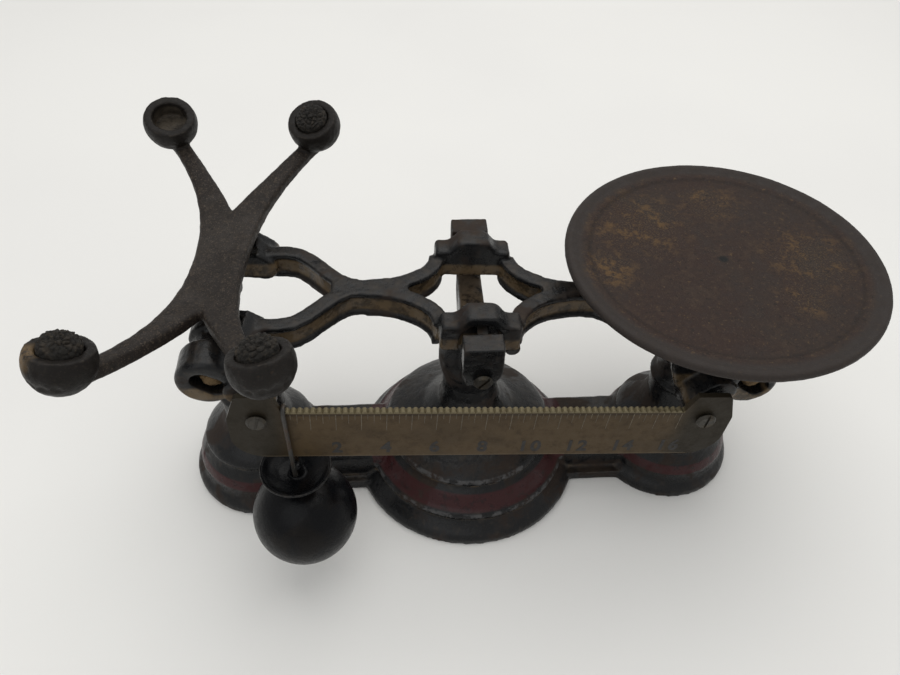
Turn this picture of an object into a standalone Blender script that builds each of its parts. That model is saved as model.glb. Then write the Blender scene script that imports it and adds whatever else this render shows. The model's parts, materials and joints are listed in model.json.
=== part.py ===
"""Antique even-balance counter scale with a notched brass side beam.

Units are millimetres in the named dimensions and metres in Blender.
X runs along the beam (plate at +X), Y to the back, Z up, bench at Z = 0.
"""
import math

import bmesh
import bpy
from mathutils import Matrix, Vector

MM = 0.001
GAP = 0.3

# ---- driving dimensions, in millimetres -------------------------------------------------
ARM = 120.0                      # fulcrum to either pan axis
PIVOT_Z = 134.0                  # height of the main knife edges
TILT = math.radians(3.0)         # rest tilt of the beam, plate side down
CHECK_Z = 11.0                   # height of the check lever's pivot
SHIFT_X = -11.06                 # puts the middle of the outline over the origin

BELL_FOOT_R = 65.5
SIDE_FOOT_R = 40.6
BAR_HALF_WIDTH = 26.0
BAR_TOP = 23.0
WALL = 3.5
CROSSHEAD_Y = 36.0
CROSSHEAD_TOP = 114.0
POST_TOP = 127.5

YOKE_HALF_LENGTH = 19.0
YOKE_BAR_X = 18.0                # where the bars' centre lines meet the yokes
YOKE_Y = (20.5, 32.0)
YOKE_Z = (-10.0, 6.0)
HUMP_TOP = 12.0
ARM_Z = (-13.6, 1.4)
BAR_HALF = 3.9                   # half thickness of each beam bar, seen from above
WEB_INSET = 1.7                  # depth of the channel along the bars
FLANGE = 3.6                     # height of the flanges above and below the channel
PINCH_X = 55.0
PINCH_Y = 1.6
BAR_END_Y = 25.5

BRASS_FRONT = -71.4
BRASS_BACK = -68.8
BRASS_Z = (-37.2, -4.8)
BRASS_END_TOP = 4.6
BRASS_HALF_LENGTH = 111.2
BRASS_CORNER = 14.5
SCREW_X, SCREW_Z = 98.7, -10.4
OUNCE = 10.9                     # poise travel for one ounce
OUNCES = 16
NOTCH_DEPTH = 1.3

PLATE_R = 77.0
PLATE_TOP = 152.6
PLATE_THICKNESS = 5.4
CUP_R = 13.2
CUP_SPREAD = (36.6, 81.0)
CUP_RIM_Z = 183.3
SPIDER_TOP = 157.0
SPIDER_THICKNESS = 7.0
CROTCH = 0.42                    # part of the way to the cups where the arms divide
SPIDER_TURN = math.radians(-3.55)
CROSSPIECE_Z = (4.4, 9.4)        # above the end knife edges

POISE_Y = 0.5 * (BRASS_FRONT + BRASS_BACK)
POISE_R = 25.6
POISE_CENTRE_Z = 51.0
POISE_CAVITY_R = 19.65
EYE_Z = 89.0
WIRE_R = 1.0

parts_collection = None
cutters_collection = None


# ---- helpers -----------------------------------------------------------------------------
def reset():
    global parts_collection, cutters_collection
    for old in list(bpy.data.objects):
        bpy.data.objects.remove(old, do_unlink=True)
    parts_collection = bpy.data.collections.new("counter_scale")
    cutters_collection = bpy.data.collections.new("cutters")
    for group in (parts_collection, cutters_collection):
        bpy.context.scene.collection.children.link(group)


def material(name, colour, roughness, metallic):
    mat = bpy.data.materials.new(name)
    mat.use_nodes = True
    shader = mat.node_tree.nodes["Principled BSDF"]
    shader.inputs["Base Color"].default_value = (*colour, 1.0)
    shader.inputs["Roughness"].default_value = roughness
    shader.inputs["Metallic"].default_value = metallic
    return mat


def link(name, mesh):
    obj = bpy.data.objects.new(name, mesh)
    parts_collection.objects.link(obj)
    return obj


def from_bmesh(name, bm):
    bmesh.ops.recalc_face_normals(bm, faces=bm.faces)
    mesh = bpy.data.meshes.new(name)
    bm.to_mesh(mesh)
    bm.free()
    return link(name, mesh)


def box(name, x, y, z):
    """Box between the limits x, y and z, each a (low, high) pair."""
    bm = bmesh.new()
    size = [MM * (hi - lo) for lo, hi in (x, y, z)]
    middle = [MM * (hi + lo) / 2 for lo, hi in (x, y, z)]
    bmesh.ops.create_cube(bm, size=1.0, matrix=Matrix.LocRotScale(middle, None, size))
    return from_bmesh(name, bm)


def add_disc(bm, centre, radius, depth, axis, segments):
    turn = {"X": Matrix.Rotation(math.pi / 2, 4, "Y"), "Z": Matrix.Identity(4),
            "Y": Matrix.Rotation(math.pi / 2, 4, "X")}[axis]
    place = Matrix.Translation(Vector(centre) * MM) @ turn
    bmesh.ops.create_cone(bm, cap_ends=True, segments=segments, radius1=radius * MM,
                          radius2=radius * MM, depth=depth * MM, matrix=place)


def disc(name, centre, radius, depth, axis="Z", segments=20):
    bm = bmesh.new()
    add_disc(bm, centre, radius, depth, axis, segments)
    return from_bmesh(name, bm)


def hull_of_discs(name, discs, y, segments=18):
    """Convex plate in X and Z, between two values of Y, around (x, z, radius) discs."""
    bm = bmesh.new()
    for x, z, radius in discs:
        add_disc(bm, (x, (y[0] + y[1]) / 2, z), radius, y[1] - y[0], "Y", segments)
    bmesh.ops.delete(bm, geom=bm.faces[:] + bm.edges[:], context="EDGES_FACES")
    bmesh.ops.convex_hull(bm, input=bm.verts)
    inside = [v for v in bm.verts if not v.link_faces]
    bmesh.ops.delete(bm, geom=inside, context="VERTS")
    return from_bmesh(name, bm)


def sphere(name, centre, radius, across=20, rings=10):
    bm = bmesh.new()
    place = Matrix.Translation(Vector(centre) * MM)
    bmesh.ops.create_uvsphere(bm, u_segments=across, v_segments=rings,
                              radius=radius * MM, matrix=place)
    return from_bmesh(name, bm)


def lathe(name, profile, steps, closed=False, centre=(0, 0, 0)):
    """Turn a profile of (radius, height) about the vertical through the centre."""
    bm = bmesh.new()
    verts = [bm.verts.new((r * MM, 0, z * MM)) for r, z in profile]
    pairs = list(zip(verts, verts[1:]))
    if closed:
        pairs.append((verts[-1], verts[0]))
    for a, b in pairs:
        bm.edges.new((a, b))
    mesh = bpy.data.meshes.new(name)
    bm.to_mesh(mesh)
    bm.free()
    obj = link(name, mesh)
    obj.location = Vector(centre) * MM
    turn = obj.modifiers.new("turn", "SCREW")
    turn.steps = turn.render_steps = steps
    turn.use_merge_vertices = True
    turn.merge_threshold = 0.00001
    return obj


def curve_mesh(name, data, place=Matrix.Identity(4)):
    """Mesh object made from curve data, with its caps welded."""
    source = bpy.data.objects.new(name + "_curve", data)
    parts_collection.objects.link(source)
    source.matrix_world = place
    bpy.context.view_layer.update()
    evaluated = source.evaluated_get(bpy.context.evaluated_depsgraph_get())
    mesh = bpy.data.meshes.new_from_object(evaluated)
    mesh.transform(place)
    bm = bmesh.new()
    bm.from_mesh(mesh)
    bmesh.ops.remove_doubles(bm, verts=bm.verts, dist=0.00001)
    bmesh.ops.recalc_face_normals(bm, faces=bm.faces)
    bm.to_mesh(mesh)
    bm.free()
    bpy.data.objects.remove(source, do_unlink=True)
    mesh.name = name
    return link(name, mesh)


def slab(name, loops, low, high, place=Matrix.Identity(4)):
    """Flat outline with holes, each loop a list of (x, y), between two heights."""
    data = bpy.data.curves.new(name, "CURVE")
    data.dimensions = "2D"
    data.fill_mode = "BOTH"
    data.extrude = (high - low) / 2 * MM
    for loop in loops:
        spline = data.splines.new("POLY")
        spline.points.add(len(loop) - 1)
        for point, (x, y) in zip(spline.points, loop):
            point.co = (x * MM, y * MM, 0, 1)
        spline.use_cyclic_u = True
    lift = Matrix.Translation((0, 0, (high + low) / 2 * MM))
    return curve_mesh(name, data, place @ lift)


UPRIGHT = Matrix.Rotation(math.pi / 2, 4, "X")     # turns an outline's (x, y) into X and Z


def wire(name, points, radius, cyclic=False):
    data = bpy.data.curves.new(name, "CURVE")
    data.dimensions = "3D"
    data.bevel_depth = radius * MM
    data.bevel_resolution = 2
    data.use_fill_caps = True
    spline = data.splines.new("POLY")
    spline.points.add(len(points) - 1)
    for point, (x, y, z) in zip(spline.points, points):
        point.co = (x * MM, y * MM, z * MM, 1)
    spline.use_cyclic_u = cyclic
    return curve_mesh(name, data)


def arc(cx, cy, radius, start, end, count):
    """Points on an arc, angles in degrees."""
    angles = [math.radians(start + (end - start) * i / (count - 1)) for i in range(count)]
    return [(cx + radius * math.cos(a), cy + radius * math.sin(a)) for a in angles]


def combine(obj, other, operation):
    other.hide_render = True
    other.display_type = "WIRE"
    parts_collection.objects.unlink(other)
    cutters_collection.objects.link(other)
    step = obj.modifiers.new(operation.lower(), "BOOLEAN")
    step.operation = operation
    step.object = other
    step.solver = "EXACT"


def join(obj, *others):
    for other in others:
        combine(obj, other, "UNION")


def cut(obj, *others):
    for other in others:
        combine(obj, other, "DIFFERENCE")


def soften(obj, width, segments=1, angle=40):
    edge = obj.modifiers.new("edge", "BEVEL")
    edge.width = width * MM
    edge.segments = segments
    edge.limit_method = "ANGLE"
    edge.angle_limit = math.radians(angle)


def bake(obj):
    """Turn the modifiers into mesh, so that later pieces can be cut by the result."""
    bpy.context.view_layer.update()
    evaluated = obj.evaluated_get(bpy.context.evaluated_depsgraph_get())
    mesh = bpy.data.meshes.new_from_object(evaluated)
    obj.modifiers.clear()
    obj.data = mesh


def finish(obj, mat, parent=None, smooth=True):
    obj.data.materials.clear()
    obj.data.materials.append(mat)
    if smooth:
        bake(obj)
        obj.data.materials.clear()
        obj.data.materials.append(mat)
        obj.data.shade_smooth()
        obj.data.set_sharp_from_angle(angle=math.radians(35))
    if parent:
        obj.parent = parent
    return obj


def axis_empty(name, location, tilt=0.0, parent=None):
    empty = bpy.data.objects.new(name, None)
    parts_collection.objects.link(empty)
    empty.location = Vector(location) * MM
    empty.rotation_euler = (0, tilt, 0)
    empty.parent = parent
    return empty


def wedge(name, half_width, height, y, point_up, at=(0, 0)):
    """Triangular bar along Y with its sharp edge at (x, z) = at."""
    drop = -height if point_up else height
    x, z = at
    outline = [(x, z), (x + half_width, z + drop), (x - half_width, z + drop)]
    return slab(name, [outline], -y[1], -y[0], UPRIGHT)


# ---- base --------------------------------------------------------------------------------
def bell_profile():
    """Outer side of the central pedestal from its top down to the bench."""
    flare = [(15 + 27 * t ** 2.2, 62 - 25 * t) for t in (0.0, 0.33, 0.66, 1.0)]
    bead = arc(44.2, 32, 3.2, 75, -75, 4)
    cove = [(49.5, 25.5), (55.0, 18.5)]
    lower = arc(55.5, 15.5, 3.0, 70, -60, 3)
    return ([(0, 100), (13, 100), (17.5, 92), (17.5, 84), (15, 72)] + flare + bead + cove
            + lower + [(61.0, 9.0), (64.0, 6.5), (BELL_FOOT_R, 4.5), (BELL_FOOT_R, 0)])


def side_profile():
    """Outer side of a side pedestal from its top down to the bench."""
    groove = arc(16.4, 66.5, 1.8, 80, -80, 3)
    flare = [(16.6 + 11 * t ** 2, 50 - 14 * t) for t in (0.0, 0.5, 1.0)]
    bead = arc(28.6, 31.5, 2.6, 70, -70, 3)
    return ([(15.2, 92), (17.2, 90), (17.2, 86), (15.4, 82), (15.4, 69)] + groove
            + [(16.6, 63)] + flare + bead + [(31.5, 26), (34.6, 21.5)]
            + [(36.4, 17), (36.4, 10), (39.2, 7), (SIDE_FOOT_R, 4.5), (SIDE_FOOT_R, 0)])


def base_outer():
    base = lathe("base_casting", bell_profile() + [(0, 0)], 32)
    for side in (-1, 1):
        pedestal = lathe("pedestal", [(0, 92)] + side_profile() + [(0, 0)], 20,
                         centre=(side * ARM, 0, 0))
        join(base, pedestal)
    reach = ARM + 3.3
    ledge = box("bar_ledge", (-reach, reach), (-BAR_HALF_WIDTH, BAR_HALF_WIDTH), (0.6, 7))
    rail = box("bar_rail", (-reach, reach), (-BAR_HALF_WIDTH + 5.5, BAR_HALF_WIDTH - 5.5),
               (1, BAR_TOP))
    soften(rail, 2.0)
    head = slab("crosshead", [[(-CROSSHEAD_Y, 104), (-14, 84), (14, 84), (CROSSHEAD_Y, 104),
                               (CROSSHEAD_Y, POST_TOP), (YOKE_Y[1] + 0.9, POST_TOP),
                               (YOKE_Y[1] + 0.9, CROSSHEAD_TOP),
                               (-YOKE_Y[1] - 0.9, CROSSHEAD_TOP),
                               (-YOKE_Y[1] - 0.9, POST_TOP), (-CROSSHEAD_Y, POST_TOP)]],
                -6.5, 6.5, Matrix.Rotation(math.pi / 2, 4, "Z") @ UPRIGHT)
    join(base, ledge, rail, head)
    return base


def base_hollows(base):
    """Open the casting from below and bore the necks for the stems."""
    bell = lathe("bell_core", [(0, 52), (9, 50), (20, 44), (38, 34), (46, 22), (52, 12),
                               (BELL_FOOT_R - WALL, 6), (BELL_FOOT_R - WALL, -1),
                               (0, -1)], 30)
    bell.rotation_euler.z = math.radians(3)
    cut(base, bell)
    for side in (-1, 1):
        core = lathe("side_core", [(0, 100), (8, 100), (8, 52), (22, 40), (27, 26),
                                   (33, 16), (SIDE_FOOT_R - WALL, 6),
                                   (SIDE_FOOT_R - WALL, -1), (0, -1)], 18,
                     centre=(side * ARM, 0, 0))
        core.rotation_euler.z = math.radians(5)
        cut(base, core)
    inner = BAR_HALF_WIDTH - 5.5 - WALL
    reach = ARM + 1.7
    cut(base, box("bar_core", (-reach, reach), (-inner, inner), (-1.4, BAR_TOP - WALL)))


def build_base(iron):
    base = base_outer()
    base_hollows(base)
    for side in (-1, 1):
        span = sorted((side * 8.4, side * 13.0))
        join(base, box("pin_lug", (-5, 5), span, (5, 56)))
    cut(base, disc("pin_bore", (0, 0, CHECK_Z), 2.0 + GAP, 30, "Y", 16))
    for side in (-1, 1):
        hole = disc("cap_screw_hole", (0, side * CROSSHEAD_Y, CAP_SCREW_Z), 1.8 + GAP,
                    2 * (CROSSHEAD_Y - YOKE_Y[1] + 1), "Y", 16)
        cut(base, hole)
    return finish(base, iron)


# ---- centre bearings ---------------------------------------------------------------------
CAP_Y = (CROSSHEAD_Y + GAP, 47.0)
CAP_TOP = 141.0
CAP_SCREW_Z = 121.2
CAP_HALF = 9.4
SEAT_HALF = 5.4


def bearing_cap(name, side, iron):
    """Hood over one main bearing, with a rounded lower end and a pocket from behind."""
    y = sorted((side * CAP_Y[0], side * CAP_Y[1]))
    cap = slab(name, [[(CAP_HALF, CAP_TOP), (-CAP_HALF, CAP_TOP)]
                        + arc(0, 126, CAP_HALF, 180, 360, 11)],
               -y[1], -y[0], UPRIGHT)
    soften(cap, 0.8)
    pocket_y = sorted((side * (CAP_Y[0] - 1), side * 44.4))
    cut(cap, box("cap_pocket", (-SEAT_HALF - GAP, SEAT_HALF + GAP), pocket_y, (124.3, 139.2)))
    cut(cap, disc("cap_hole", (0, side * 42, CAP_SCREW_Z), 1.8 + GAP, 20, "Y", 16))
    return finish(cap, iron)


def bearing_seat(name, side, steel):
    """V block whose valley carries the knife edge."""
    y = sorted((side * (CAP_Y[0] + GAP), side * 44.0))
    outline = [(-SEAT_HALF, 124.7), (SEAT_HALF, 124.7), (SEAT_HALF, 138.0),
               (4.6, 138.0), (0, PIVOT_Z - 0.1), (-4.6, 138.0), (-SEAT_HALF, 138.0)]
    return finish(slab(name, [outline], -y[1], -y[0], UPRIGHT), steel)


def slotted_screw(name, x, z, front, back, head_r, head_h, shank_r, facing, metal, turn=0.0):
    """Round-head screw along Y; facing is the side its head looks to."""
    head_y = front + facing * head_h / 2
    screw = disc(name, (x, head_y, z), head_r, head_h, "Y", 20)
    soften(screw, head_h * 0.45)
    shank_mid = (front + back) / 2
    join(screw, disc("shank", (x, shank_mid, z), shank_r, abs(front - back) + 0.4, "Y", 10))
    slot = box("slot", (-0.6, 0.6), (-0.8, 0.8), (-head_r - 1, head_r + 1))
    slot.location = (x * MM, (front + facing * head_h) * MM, z * MM)
    slot.rotation_euler = (0, turn, 0)
    cut(screw, slot)
    return finish(screw, metal)


def build_centre_bearings(iron, steel):
    for label, side in (("front", -1), ("rear", 1)):
        bearing_cap("%s_bearing_cap" % label, side, iron)
        bearing_seat("%s_bearing_seat" % label, side, steel)
        slotted_screw("%s_cap_screw" % label, 0, CAP_SCREW_Z, side * (CAP_Y[1] + GAP),
                      side * (YOKE_Y[1] + 1.5), 4.6, 2.6, 1.8, side, iron, math.radians(40))


# ---- main beam, in the frame of its fulcrum ----------------------------------------------
LOBE_R = 11.0
OUTER_CHEEK = (31.0, 36.5)
INNER_CHEEK = (18.5, 23.6)
BOSS_Y = (-61.0, -44.0)
LUG_Y = (-64.3, -52.0)
END_KNIFE = (17.0, 38.0)


def bar_line(count=9):
    """Centre line of one quarter bar, from the end fork in to the yoke."""
    points = []
    for i in range(count):
        t = i / (count - 1)
        x = 106 - (106 - PINCH_X) * t
        ease = 0.5 + 0.5 * math.cos(math.pi * min(1.0, max(0.0, (92 - x) / 34)))
        points.append((x, PINCH_Y + (BAR_END_Y - PINCH_Y) * ease))
    for i in range(1, count):
        u = math.radians(90 * i / (count - 1))
        x = PINCH_X - (PINCH_X - YOKE_BAR_X) * math.sin(u)
        points.append((x, PINCH_Y + (YOKE_Y[0] + 3.5 - PINCH_Y) * (1 - math.cos(u))))
    return points


def offset_line(points, distance):
    """Shift a line sideways by a distance, along its own normals."""
    moved = []
    for i, (x, y) in enumerate(points):
        ax, ay = points[max(0, i - 1)]
        bx, by = points[min(len(points) - 1, i + 1)]
        length = math.hypot(bx - ax, by - ay)
        moved.append((x + distance * (by - ay) / length, y - distance * (bx - ax) / length))
    return moved


def half_outline(half):
    """Outline of one half of the beam: two bars that meet at the pinch, fork end open."""
    line = bar_line()
    outer = offset_line(line, half)
    clear = [y > 0 for _, y in offset_line(line, -BAR_HALF)]
    inner = [p for p, keep in zip(offset_line(line, -half), clear) if keep]
    outboard = [p for p in inner if p[0] > PINCH_X]
    inboard = [p for p in inner if p[0] < PINCH_X]
    mirrored = [[(x, -y) for x, y in part] for part in (outer, inboard, outboard)]
    return (outer + inboard[::-1] + mirrored[1] + mirrored[0][::-1] + mirrored[2]
            + outboard[::-1])


def build_half(sx):
    """One half of the beam, lofted so that a channel runs along the sides of its bars."""
    low, high = ARM_Z
    web = BAR_HALF - WEB_INSET
    layers = ((BAR_HALF, low), (BAR_HALF, low + FLANGE - 0.8), (web, low + FLANGE),
              (web, high - FLANGE), (BAR_HALF, high - FLANGE + 0.8), (BAR_HALF, high))
    bm = bmesh.new()
    rings = []
    for half, z in layers:
        outline = half_outline(half)
        rings.append([bm.verts.new((sx * x * MM, y * MM, z * MM)) for x, y in outline])
    for below, above in zip(rings, rings[1:]):
        for i in range(len(below)):
            bm.faces.new((below[i - 1], below[i], above[i], above[i - 1]))
    bm.faces.new(rings[0])
    bm.faces.new(rings[-1])
    return from_bmesh("beam_half", bm)


def build_yoke(name, sy):
    """Block that carries one main knife, with a humped top and an arched recess."""
    low, high = YOKE_Z
    half = YOKE_HALF_LENGTH
    outline = [(-half, low), (half, low), (half, high), (12, high), (7, HUMP_TOP),
               (-7, HUMP_TOP), (-12, high), (-half, high)]
    y = sorted((sy * YOKE_Y[0], sy * YOKE_Y[1]))
    yoke = slab(name, [outline], -y[1], -y[0], UPRIGHT)
    soften(yoke, 1.2)
    recess_y = sorted((sy * 28.0, sy * 33.0))
    arch = [(-10, low - 1), (10, low - 1)] + arc(0, -2.4, 10, 0, 180, 11)
    cut(yoke, slab("yoke_arch", [arch], -recess_y[1], -recess_y[0], UPRIGHT))
    return yoke


def build_fork(sx, sy):
    """End of one bar: two cheeks for the end knife, with the hanger's ear between them."""
    y = sorted((sy * INNER_CHEEK[0], sy * OUTER_CHEEK[1]))
    tail_z = (ARM_Z[0] + ARM_Z[1]) / 2
    fork = hull_of_discs("fork", [(sx * ARM, 0, LOBE_R), (sx * 104, tail_z, 6.5)], y)
    soften(fork, 0.9)
    slot_x = sorted((sx * 108.5, sx * 150))
    slot_y = sorted((sy * INNER_CHEEK[1], sy * OUTER_CHEEK[0]))
    cut(fork, box("ear_gap", slot_x, slot_y, (-30, 30)))
    low_y = sorted((sy * (INNER_CHEEK[0] - 1), sy * (INNER_CHEEK[1] + 1)))
    cut(fork, box("low_cheek", sorted((sx * 107, sx * 150)), low_y, (CROSSPIECE_Z[0] - 0.9, 30)))
    return fork


def build_boss(sx):
    """Round box on the front end with its pocket, its neck and the brass beam's lug."""
    mid = sum(BOSS_Y) / 2
    boss = disc("boss", (sx * ARM, mid, 0), 13.0, BOSS_Y[1] - BOSS_Y[0], "Y", 24)
    soften(boss, 2.0)
    neck = disc("boss_neck", (sx * ARM, -40.5, 0), 8.5, 10, "Y", 16)
    lug = hull_of_discs("lug", [(sx * 106, -2, 7.0), (sx * SCREW_X, SCREW_Z, 7.5)], LUG_Y)
    web = hull_of_discs("web", [(sx * 112, 2, 7), (sx * 90, 3, 5), (sx * 97, -18, 4)],
                        (-52.5, -47.5))
    pad_y = (BRASS_BACK + GAP + LUG_Y[0] + 0.8) / 2
    pad = disc("pad", (sx * SCREW_X, pad_y, SCREW_Z), 5.0, LUG_Y[0] + 0.8 - BRASS_BACK - GAP,
               "Y", 16)
    return [boss, neck, web, lug, pad]


def build_main_beam(iron, parent):
    beam = build_yoke("main_beam", -1)
    join(beam, build_yoke("rear_yoke", 1))
    for sx in (-1, 1):
        join(beam, build_half(sx))
        for sy in (-1, 1):
            join(beam, build_fork(sx, sy))
        join(beam, *build_boss(sx))
    stop = disc("stop_lug", (16.5, -27, -11.5), 4.0, 6.0, "Y", 16)
    join(beam, stop)
    for sx in (-1, 1):
        pocket = hull_of_discs("pocket", [(sx * ARM + 4.0, -1.6, 4.8),
                                          (sx * ARM - 1.5, 1.8, 4.6)], (-62.0, -53.0), 20)
        cut(beam, pocket)
        cut(beam, disc("lug_hole", (sx * SCREW_X, -60, SCREW_Z), 2.0 + GAP, 20, "Y", 16))
    for sy in (-1, 1):
        y = sorted((sy * 21.7, sy * 50.0))
        cut(beam, wedge("knife_slot", 2.6 + GAP, 4.7 + GAP, y, False, (0, -GAP)))
        for sx in (-1, 1):
            y = sorted((sy * 12.0, sy * (OUTER_CHEEK[1] + 2.5)))
            cut(beam, wedge("end_slot", 3.0 + GAP, 6.4 + GAP, y, True, (sx * ARM, GAP)))
    return finish(beam, iron, parent)


def build_knives(steel, parent):
    for label, sy in (("front", -1), ("rear", 1)):
        y = sorted((sy * 22.0, sy * 43.4))
        finish(wedge("%s_centre_knife" % label, 2.4, 4.4, y, False), steel, parent)
        for side, sx in (("left", -1), ("right", 1)):
            y = sorted((sy * END_KNIFE[0], sy * END_KNIFE[1]))
            name = "%s_%s_end_knife" % (side, label)
            finish(wedge(name, 2.8, 6.2, y, True, (sx * ARM, 0)), steel, parent)


# ---- brass side beam ---------------------------------------------------------------------
def tooth_line():
    """Top edge of the brass between its raised ends: a rounded tooth between notches."""
    notch = OUNCE / 4
    count = OUNCES * 4
    start = -OUNCES * OUNCE / 2
    points = []
    for i in range(count + 1):
        x = start + i * notch
        points += [(x, BRASS_Z[1] - NOTCH_DEPTH), (x + notch * 0.26, BRASS_Z[1] - 0.25)]
        if i < count:
            points += [(x + notch * 0.5, BRASS_Z[1]), (x + notch * 0.74, BRASS_Z[1] - 0.25)]
    return points


def brass_outline():
    low = BRASS_Z[0]
    end = BRASS_HALF_LENGTH
    step = OUNCES * OUNCE / 2 + 0.9
    corner = BRASS_CORNER
    right = arc(end - corner, low + corner, corner, -90, 0, 7) + [(end, BRASS_END_TOP - 14)]
    right += arc(end - 6, BRASS_END_TOP - 2, 2, 20, 90, 3)
    right += [(step + 3.6, BRASS_END_TOP), (step, BRASS_Z[1] - 0.25)]
    left = [(-x, z) for x, z in reversed(right)]
    return right + tooth_line()[::-1] + left


def build_brass_beam(brass, parent):
    beam = slab("graduated_beam", [brass_outline()], -BRASS_BACK, -BRASS_FRONT, UPRIGHT)
    for sx in (-1, 1):
        cut(beam, disc("screw_hole", (sx * SCREW_X, BRASS_FRONT, SCREW_Z), 2.0 + GAP, 16, "Y",
                       16))
    finish(beam, brass, parent)
    for label, sx, turn in (("left", -1, 0.25), ("right", 1, 0.05)):
        screw = slotted_screw("%s_beam_screw" % label, sx * SCREW_X, SCREW_Z,
                              BRASS_FRONT - GAP, -58.5, 4.5, 2.4, 2.0, -1, brass, turn)
        screw.parent = parent


# ---- pan hangers, in the frame of their end knife edges ----------------------------------
EAR_Y = (24.7, 29.9)
EAR_HALF = 7.2


def build_hanger(name, iron, parent):
    """Crosspiece with a slotted ear over each knife, and a post for the pan."""
    hanger = box(name, (-4.2, 4.2), (-EAR_Y[1] + 1, EAR_Y[1] - 1), CROSSPIECE_Z)
    soften(hanger, 0.8)
    join(hanger, disc("hub", (0, 0, 3.5), 8.2, 11.2, "Z", 20))
    join(hanger, disc("post", (0, 0, 11.0), 5.0, 6.4, "Z", 20))
    for sy in (-1, 1):
        y = sorted((sy * EAR_Y[0], sy * EAR_Y[1]))
        ear = hull_of_discs("ear", [(0, 2.3, EAR_HALF - 0.5), (0, -4.5, EAR_HALF)], y, 20)
        join(hanger, ear)
        slot_y = sorted((sy * (EAR_Y[0] - 2), sy * (EAR_Y[1] + 2)))
        cut(hanger, box("ear_slot", (-4.2, 4.2), slot_y, (-14, 3.8)))
    cut(hanger, disc("stem_hole", (0, 0, 0), 2.6 + GAP, 12, "Z", 16))
    return finish(hanger, iron, parent)


def build_bearing(name, sy, steel, parent):
    """Inverted V that rests on the end knife edge."""
    y = sorted((sy * (EAR_Y[0] + 0.2), sy * (EAR_Y[1] - 0.2)))
    outline = [(-3.9, 3.5), (-3.9, -3.0), (0, 0.1), (3.9, -3.0), (3.9, 3.5)]
    return finish(slab(name, [outline], -y[1], -y[0], UPRIGHT), steel, parent)


def build_stem(name, length, steel, parent):
    """Rod from the hanger's hub down to an eye at the check lever."""
    stem = disc(name, (0, 0, (4.5 - length) / 2), 2.6, length + 4.5 - 1, "Z", 16)
    join(stem, disc("stem_eye", (0, 0, -length), 4.4, 4.6, "Y", 20))
    cut(stem, disc("eye_hole", (0, 0, -length), 1.5 + GAP, 12, "Y", 16))
    return finish(stem, steel, parent)


def build_hangers(iron, steel, left_axis, right_axis):
    for side, axis in (("left", left_axis), ("right", right_axis)):
        build_hanger("%s_pan_hanger" % side, iron, axis)
        build_stem("%s_stem" % side, PIVOT_Z - CHECK_Z, steel, axis)
        for label, sy in (("front", -1), ("rear", 1)):
            build_bearing("%s_%s_bearing" % (side, label), sy, steel, axis)


# ---- check lever -------------------------------------------------------------------------
def build_check_lever(iron, steel, axis):
    """Parallel lever hidden in the base; its forks hold the stems' eyes."""
    lever = box("check_lever", (-ARM - 5, ARM + 5), (-6.0, 6.0), (-2.6, 2.6))
    join(lever, disc("lever_hub", (0, 0, 0), 5.0, 13.0, "Y", 24))
    for sx in (-1, 1):
        slot = box("fork", sorted((sx * (ARM - 9), sx * (ARM + 9))), (-2.9, 2.9), (-8, 8))
        cut(lever, slot)
        cut(lever, disc("fork_hole", (sx * ARM, 0, 0), 1.5 + GAP, 30, "Y", 16))
    cut(lever, disc("hub_hole", (0, 0, 0), 2.0 + GAP, 30, "Y", 16))
    finish(lever, iron, axis)
    for side, sx in (("left", -1), ("right", 1)):
        pin = disc("%s_check_pin" % side, (sx * ARM, 0, 0), 1.5, 15.0, "Y", 16)
        finish(pin, steel, axis)
    pivot = disc("check_lever_pivot", (0, 0, CHECK_Z), 2.0, 26.0, "Y", 20)
    finish(pivot, steel)


# ---- weighing plate and spider -----------------------------------------------------------
def build_plate(iron, axis, knife_z):
    """Dished round plate with a rolled rim, a step inside it and a hub below."""
    seat = knife_z + CROSSPIECE_Z[1] + GAP
    face = PLATE_TOP - 2.6
    under = face - PLATE_THICKNESS
    rim = arc(PLATE_R - 2.6, PLATE_TOP - 2.6, 2.6, 100, -100, 6)
    profile = [(0, face - 0.5), (1.6, face), (PLATE_R - 12.5, face), (PLATE_R - 11.3, face + 0.9),
               (PLATE_R - 7.0, face + 1.0)] + rim
    profile += [(PLATE_R - 9, under + 0.5), (PLATE_R - 14, under), (13, under), (11, seat),
                (5.3, seat), (5.3, seat + 5.6), (0, seat + 5.6)]
    plate = lathe("weight_plate", [(r, z - knife_z) for r, z in profile], 44)
    return finish(plate, iron, axis)


def sickle(name, side):
    """One curved half of the spider: two arms that part from its middle and rise to cups."""
    bm = bmesh.new()
    bmesh.ops.create_grid(bm, x_segments=1, y_segments=18, size=1.0)
    for v in bm.verts:
        reach = abs(v.co.y)
        outer = 12.0 + (CUP_SPREAD[0] + 5.3 - 12.0) * reach ** 2.3
        spread = max(0.0, (reach - CROTCH) / (1.0 - CROTCH))
        inner = -4.0 if spread == 0.0 else CUP_SPREAD[0] * 0.87 * spread ** 1.15
        rise = (CUP_RIM_Z - 12 - SPIDER_TOP) * reach ** 2
        x = side * (outer if v.co.x > 0 else inner)
        v.co = Vector((x, v.co.y * CUP_SPREAD[1], rise)) * MM
    bmesh.ops.recalc_face_normals(bm, faces=bm.faces)
    if sum(face.normal.z for face in bm.faces) < 0:
        bmesh.ops.reverse_faces(bm, faces=bm.faces)
    mesh = bpy.data.meshes.new(name)
    bm.to_mesh(mesh)
    bm.free()
    arm = link(name, mesh)
    thick = arm.modifiers.new("thickness", "SOLIDIFY")
    thick.thickness = SPIDER_THICKNESS * MM
    thick.offset = -1
    soften(arm, 1.4)
    return arm


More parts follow.
